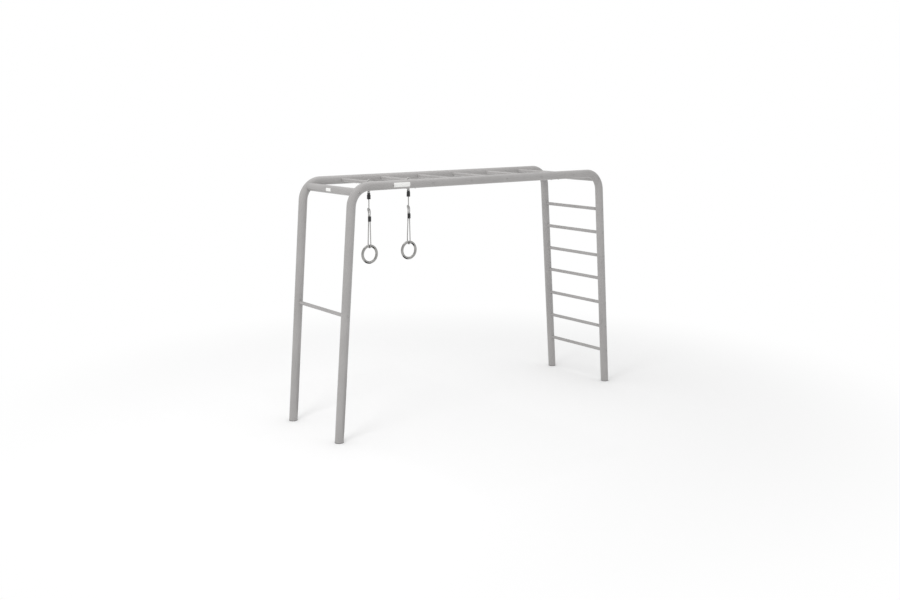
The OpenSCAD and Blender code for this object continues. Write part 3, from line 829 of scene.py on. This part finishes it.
def powder_coat(name, dark, light, rough_low, rough_high, polished_half=None):
    material, tree, shader = new_finish(name, Metallic=0.0)
    place = add_node(tree, "ShaderNodeTexCoord").outputs["Object"]
    clouds = add_node(
        tree, "ShaderNodeTexNoise", {"Scale": per_mm(260), "Detail": 3.0}, {"Vector": place},
    )
    specks = add_node(
        tree, "ShaderNodeTexNoise", {"Scale": per_mm(1.1), "Detail": 1.0}, {"Vector": place},
    )
    faint_specks = add_node(
        tree, "ShaderNodeMath", {1: SPECK_SHARE}, {0: specks.outputs["Fac"]}, operation="MULTIPLY",
    )
    pattern = add_node(
        tree, "ShaderNodeMath", links={0: clouds.outputs["Fac"], 1: faint_specks.outputs[0]},
        operation="ADD",
    )
    colour = two_tone(tree, pattern.outputs[0], dark, light)
    colour.color_ramp.elements[0].position = 0.45
    colour.color_ramp.elements[1].position = 0.9
    tree.links.new(colour.outputs["Color"], shader.inputs["Base Color"])
    smudges = add_node(
        tree, "ShaderNodeTexNoise", {"Scale": per_mm(45), "Detail": 4.0}, {"Vector": place},
    )
    rough = add_node(
        tree, "ShaderNodeMapRange", {"To Min": rough_low, "To Max": rough_high},
        {"Value": smudges.outputs["Fac"]},
    ).outputs["Result"]
    if polished_half:
        across = add_node(tree, "ShaderNodeSeparateXYZ", links={"Vector": place}).outputs["Y"]
        from_middle = add_node(
            tree, "ShaderNodeMath", links={0: across}, operation="ABSOLUTE",
        ).outputs[0]
        worn = add_node(
            tree, "ShaderNodeMapRange",
            {"From Min": 0.0, "From Max": polished_half, "To Min": 0.8, "To Max": 1.0},
            {"Value": from_middle},
        ).outputs["Result"]
        rough = add_node(
            tree, "ShaderNodeMath", links={0: rough, 1: worn}, operation="MULTIPLY",
        ).outputs[0]
    tree.links.new(rough, shader.inputs["Roughness"])
    peel = add_node(
        tree, "ShaderNodeTexNoise", {"Scale": per_mm(2.2), "Detail": 1.0}, {"Vector": place},
    )
    bump = add_node(
        tree, "ShaderNodeBump", {"Strength": 0.5, "Distance": mm(0.2)}, {"Height": peel.outputs["Fac"]},
    )
    tree.links.new(bump.outputs["Normal"], shader.inputs["Normal"])
    return material


frame_coat = powder_coat("powder-coated steel, warm grey", "#9A9897", "#A3A1A0", 0.26, 0.38)
bar_coat = powder_coat(
    "powder-coated steel, polished by hands", "#9B9998", "#A4A2A1", 0.24, 0.36, POLISHED_HALF,
)
bolt_coat = powder_coat("powder-coated bolt heads", "#9A9897", "#A3A1A0", 0.28, 0.40)
print("powder coats:", [coat.name for coat in (frame_coat, bar_coat, bolt_coat)])

# %% [markdown]
# ### Bare and plated metals
# The sleeves and threaded plugs inside the joints are zinc plated: a dull, blotchy silver.
# The snap hooks are bent and electropolished stainless wire, with a soft sheen and faint
# upright drawing lines, and the gates turn on plain steel pins. The hand rings have a satin
# chrome plating, smooth enough to mirror what is under them. An anisotropic shader would
# smear their gloss but show no lines, so a stretched noise draws the lines themselves. One
# function makes all four, from a colour, a roughness and the real size of the blotches and
# lines. Metals keep the shader's default IOR.

# %% Zinc, stainless steel and chrome
LINE_STRETCH = 0.06


def bare_metal(name, dark, light, rough, blotch_mm, line_mm):
    material, tree, shader = new_finish(name, Metallic=1.0)
    place = add_node(tree, "ShaderNodeTexCoord").outputs["Object"]
    blotches = add_node(
        tree, "ShaderNodeTexNoise", {"Scale": per_mm(blotch_mm), "Detail": 5.0}, {"Vector": place},
    )
    colour = two_tone(tree, blotches.outputs["Fac"], dark, light)
    tree.links.new(colour.outputs["Color"], shader.inputs["Base Color"])
    stretched = add_node(tree, "ShaderNodeMapping", {"Scale": (1, 1, LINE_STRETCH)}, {"Vector": place})
    lines = add_node(
        tree, "ShaderNodeTexNoise", {"Scale": per_mm(line_mm), "Detail": 2.0},
        {"Vector": stretched.outputs["Vector"]},
    )
    roughness = add_node(
        tree, "ShaderNodeMapRange", {"To Min": rough - 0.06, "To Max": rough + 0.08},
        {"Value": lines.outputs["Fac"]},
    )
    tree.links.new(roughness.outputs["Result"], shader.inputs["Roughness"])
    bump = add_node(
        tree, "ShaderNodeBump", {"Strength": 0.2, "Distance": mm(0.03)},
        {"Height": lines.outputs["Fac"]},
    )
    tree.links.new(bump.outputs["Normal"], shader.inputs["Normal"])
    return material


zinc = bare_metal("zinc-plated steel", "#A9ABAD", "#C2C4C5", 0.42, 6, 0.8)
stainless = bare_metal("electropolished stainless wire", "#B4B3B1", "#CFCECC", 0.24, 14, 0.5)
pin_steel = bare_metal("turned steel pin", "#8E8E90", "#A5A5A6", 0.35, 5, 0.4)
ring_chrome = bare_metal("satin chrome plating", "#9D9C9A", "#AAA9A7", 0.12, 20, 0.5)
print("metals:", [metal.name for metal in (zinc, stainless, pin_steel, ring_chrome)])

# %% [markdown]
# ### Plastics
# The sleeves and sliders are black nylon from a lightly sparked mould, so they are satin
# with a fine grain. The foot caps are moulded of grey polyethylene, duller and a bit waxy.
# The labels are smooth white rolled vinyl. All three are one plastic right through, so one
# function makes them, with a slight change of shade and gloss and a fine grain.

# %% Plastics
def solid_plastic(name, dark, light, rough, grain_mm, grain_depth_mm, ior):
    material, tree, shader = new_finish(name, IOR=ior)
    place = add_node(tree, "ShaderNodeTexCoord").outputs["Object"]
    flow = add_node(
        tree, "ShaderNodeTexNoise", {"Scale": per_mm(30), "Detail": 3.0}, {"Vector": place},
    )
    colour = two_tone(tree, flow.outputs["Fac"], dark, light)
    tree.links.new(colour.outputs["Color"], shader.inputs["Base Color"])
    roughness = add_node(
        tree, "ShaderNodeMapRange", {"To Min": rough - 0.04, "To Max": rough + 0.05},
        {"Value": flow.outputs["Fac"]},
    )
    tree.links.new(roughness.outputs["Result"], shader.inputs["Roughness"])
    grain = add_node(
        tree, "ShaderNodeTexNoise", {"Scale": per_mm(grain_mm), "Detail": 2.0}, {"Vector": place},
    )
    bump = add_node(
        tree, "ShaderNodeBump", {"Strength": 0.5, "Distance": mm(grain_depth_mm)},
        {"Height": grain.outputs["Fac"]},
    )
    tree.links.new(bump.outputs["Normal"], shader.inputs["Normal"])
    return material


black_nylon = solid_plastic("moulded black nylon", "#161616", "#1E1E1F", 0.38, 0.7, 0.05, 1.53)
cap_plastic = solid_plastic("moulded grey polyethylene", "#5C5B5A", "#666564", 0.55, 0.9, 0.05, 1.51)
label_vinyl = solid_plastic("white label vinyl", "#E6E6E4", "#EBEBE9", 0.30, 2.5, 0.01, 1.5)
print("plastics:", [plastic.name for plastic in (black_nylon, cap_plastic, label_vinyl)])

# %% [markdown]
# ### Braided polyester
# The rope is light grey polyester yarn. Each strand is a bundle of fine filaments, so the
# surface has thin lines that follow the braid, a soft sheen and small differences in tone
# from strand to strand. The grooves between the strands are darkened with painted shade. The
# filaments are far too fine to show, so they are drawn about half a millimetre apart.

# %% Braided polyester
GROOVE_PAINTED_SHADE = 0.42


def braided_polyester(name, dark, light):
    material, tree, shader = new_finish(name, Roughness=0.72)
    shader.inputs["Sheen Weight"].default_value = 0.35
    shader.inputs["Sheen Roughness"].default_value = 0.5
    shader.inputs["IOR"].default_value = 1.52
    uv = add_node(tree, "ShaderNodeUVMap", uv_map="UVMap").outputs["UV"]
    around = math.pi * ROPE_D
    in_metres = add_node(tree, "ShaderNodeMapping", {"Scale": (around, 1, 1)}, {"Vector": uv})
    yarn = add_node(
        tree, "ShaderNodeTexNoise", {"Scale": per_mm(0.5), "Detail": 2.0},
        {"Vector": in_metres.outputs["Vector"]},
    )
    shades = add_node(
        tree, "ShaderNodeTexNoise", {"Scale": per_mm(4), "Detail": 2.0},
        {"Vector": in_metres.outputs["Vector"]},
    )
    pattern = add_node(
        tree, "ShaderNodeMath", links={0: yarn.outputs["Fac"], 1: shades.outputs["Fac"]},
        operation="MULTIPLY",
    )
    colour = two_tone(tree, pattern.outputs[0], dark, light)
    colour.color_ramp.elements[0].position = 0.12
    colour.color_ramp.elements[1].position = 0.40
    # Painted shade: the strand height darkens the base colour in the grooves between the strands.
    height = add_node(tree, "ShaderNodeAttribute", attribute_name="strand_height").outputs["Fac"]
    shade = add_node(
        tree, "ShaderNodeMapRange",
        {"From Min": 0.30, "From Max": 0.85, "To Min": GROOVE_PAINTED_SHADE, "To Max": 1.0}, {"Value": height},
    ).outputs["Result"]
    shaded = add_node(
        tree, "ShaderNodeVectorMath", links={0: colour.outputs["Color"], 1: shade},
        operation="MULTIPLY",
    )
    tree.links.new(shaded.outputs["Vector"], shader.inputs["Base Color"])
    bump = add_node(
        tree, "ShaderNodeBump", {"Strength": 0.6, "Distance": mm(0.12)}, {"Height": yarn.outputs["Fac"]},
    )
    tree.links.new(bump.outputs["Normal"], shader.inputs["Normal"])
    return material


rope_fibre = braided_polyester("braided polyester rope", "#999896", "#BDBCBA")
print(rope_fibre.name, "has grooves at", GROOVE_PAINTED_SHADE, "of the strands' brightness")

# %% [markdown]
# ## Put the finishes on
# Every CAD node and every new piece names a material slot of the record, so one table from
# slot to finish dresses them all.

# %% Put the finishes on
FINISHES = {
    "frame_paint": frame_coat,
    "bar_paint": bar_coat,
    "fastener_paint": bolt_coat,
    "zinc_steel": zinc,
    "hook_steel": stainless,
    "pin_steel": pin_steel,
    "cap_plastic": cap_plastic,
    "black_plastic": black_nylon,
    "label_vinyl": label_vinyl,
    "rope_fibre": rope_fibre,
    "ring_plastic": ring_chrome,
}
slot_of_node = {s["node"]: s["material_slot"] for s in frame["record"]["subparts"]}
for name, node in nodes.items():
    for holder in node.material_slots:
        holder.material = FINISHES[slot_of_node[name]]
new_pieces = [p for p in bpy.data.objects if p.type == "MESH" and p.name not in nodes]
for piece in new_pieces:
    piece.data.materials.clear()
    piece.data.materials.append(FINISHES[piece["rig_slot"]])
print("finishes on", len(nodes), "CAD nodes and", len(new_pieces), "new pieces")

# %% [markdown]
# ## Studio floor
# The object stands on a plain pale floor, as in a product studio. The floor is matt paint
# where it carries the shadow. Further out it turns smoothly into white light, the same white
# as the surround, so no edge or horizon shows.

# %% Floor
FLOOR_R = 14
FADE_START = 1.9
FADE_END = 4.8
floor_bm = bmesh.new()
bmesh.ops.create_circle(floor_bm, cap_ends=True, segments=96, radius=FLOOR_R)
floor = new_piece("studio_floor", floor_bm)
floor_paint, floor_tree, floor_shader = new_finish("matt white studio floor", Roughness=0.9)
floor_shader.inputs["Base Color"].default_value = linear("#F6F6F6")
floor_shader.inputs["Specular IOR Level"].default_value = 0.1
floor_place = add_node(floor_tree, "ShaderNodeTexCoord").outputs["Object"]
floor_distance = add_node(
    floor_tree, "ShaderNodeVectorMath", links={0: floor_place}, operation="LENGTH"
).outputs["Value"]
fade = add_node(
    floor_tree, "ShaderNodeMapRange", {"From Min": FADE_START, "From Max": FADE_END},
    {"Value": floor_distance}, interpolation_type="SMOOTHSTEP",
)
white = add_node(floor_tree, "ShaderNodeEmission", {"Strength": 1.0})
blended = add_node(
    floor_tree, "ShaderNodeMixShader",
    links={0: fade.outputs["Result"], 1: floor_shader.outputs["BSDF"], 2: white.outputs["Emission"]},
)
floor_output = next(n for n in floor_tree.nodes if n.type == "OUTPUT_MATERIAL")
floor_tree.links.new(blended.outputs["Shader"], floor_output.inputs["Surface"])
floor.data.materials.append(floor_paint)
print("floor radius", FLOOR_R, "fades from", FADE_START, "to", FADE_END)

# %% [markdown]
# ## Black card
# A shiny ring in an all-white studio looks flat, because it mirrors nothing but white. A
# darker metal would only turn it grey, so a studio lays a black card near it for it to
# mirror. This one lies under the rings and gives them their dark patches. It is hidden from
# the camera and from diffuse light and casts no shadow, so only reflections see it.

# %% Black card under the rings
CARD_PLACE = (-0.60, -0.30, 0.01)
CARD_WIDTH = 1.6
CARD_DEPTH = 3.5
card_bm = bmesh.new()
bmesh.ops.create_grid(
    card_bm, x_segments=1, y_segments=1, size=0.5,
    matrix=Matrix.Translation(CARD_PLACE) @ Matrix.Diagonal((CARD_WIDTH, CARD_DEPTH, 1, 1)),
)
card = new_piece("black_card", card_bm)
card.visible_camera = False
card.visible_diffuse = False
card.visible_shadow = False
card_paint, card_tree, card_shader = new_finish("matt black card", Roughness=1.0)
card_shader.inputs["Base Color"].default_value = linear("#0A0A0A")
card_shader.inputs["Specular IOR Level"].default_value = 0.0
card.data.materials.append(card_paint)
print("card", CARD_WIDTH, "by", CARD_DEPTH, "at", CARD_PLACE)

# %% [markdown]
# ## Light
# The world gives even white light, a little dimmer than the white that the camera sees
# behind the object. A wide lamp overhead brightens the floor and the tops of the rails, and
# a key lamp from the left and front shapes the tubes and gives the floor its faint shadow.
# The key lamp is hidden from reflections, or it would put a bright spot on every shiny piece.

# %% Light
WORLD_LIGHT = 0.80
world = bpy.data.worlds.new("white surround")
world.use_nodes = True
bpy.context.scene.world = world
sky = world.node_tree
sky.nodes.clear()
seen_directly = add_node(sky, "ShaderNodeLightPath").outputs["Is Camera Ray"]
lighting = add_node(sky, "ShaderNodeBackground", {"Strength": WORLD_LIGHT})
backdrop = add_node(sky, "ShaderNodeBackground", {"Strength": 1.0})
lighting.inputs["Color"].default_value = (1, 1, 1, 1)
backdrop.inputs["Color"].default_value = (1, 1, 1, 1)
surround = add_node(
    sky, "ShaderNodeMixShader",
    links={0: seen_directly, 1: lighting.outputs["Background"], 2: backdrop.outputs["Background"]},
)
add_node(sky, "ShaderNodeOutputWorld", links={"Surface": surround.outputs["Shader"]})


def soft_lamp(name, place, target, size, power):
    data = bpy.data.lights.new(name, "AREA")
    data.shape = "DISK"
    data.size = size
    data.energy = power
    lamp = bpy.data.objects.new(name, data)
    lamp.location = place
    lamp.rotation_euler = (Vector(target) - Vector(place)).to_track_quat("-Z", "Y").to_euler()
    bpy.context.scene.collection.objects.link(lamp)
    return lamp


key = soft_lamp("key lamp", place=(-6.5, -2.5, 4.5), target=(0, 0, 1.2), size=3.0, power=115)
key.visible_glossy = False
top = soft_lamp("overhead lamp", place=(-0.3, 0.5, 5.2), target=(-0.3, 0.5, 0), size=6.0, power=75)
bpy.context.scene.view_settings.view_transform = "Standard"
print("world light", WORLD_LIGHT, "lamps", [lamp.data.energy for lamp in (key, top)])
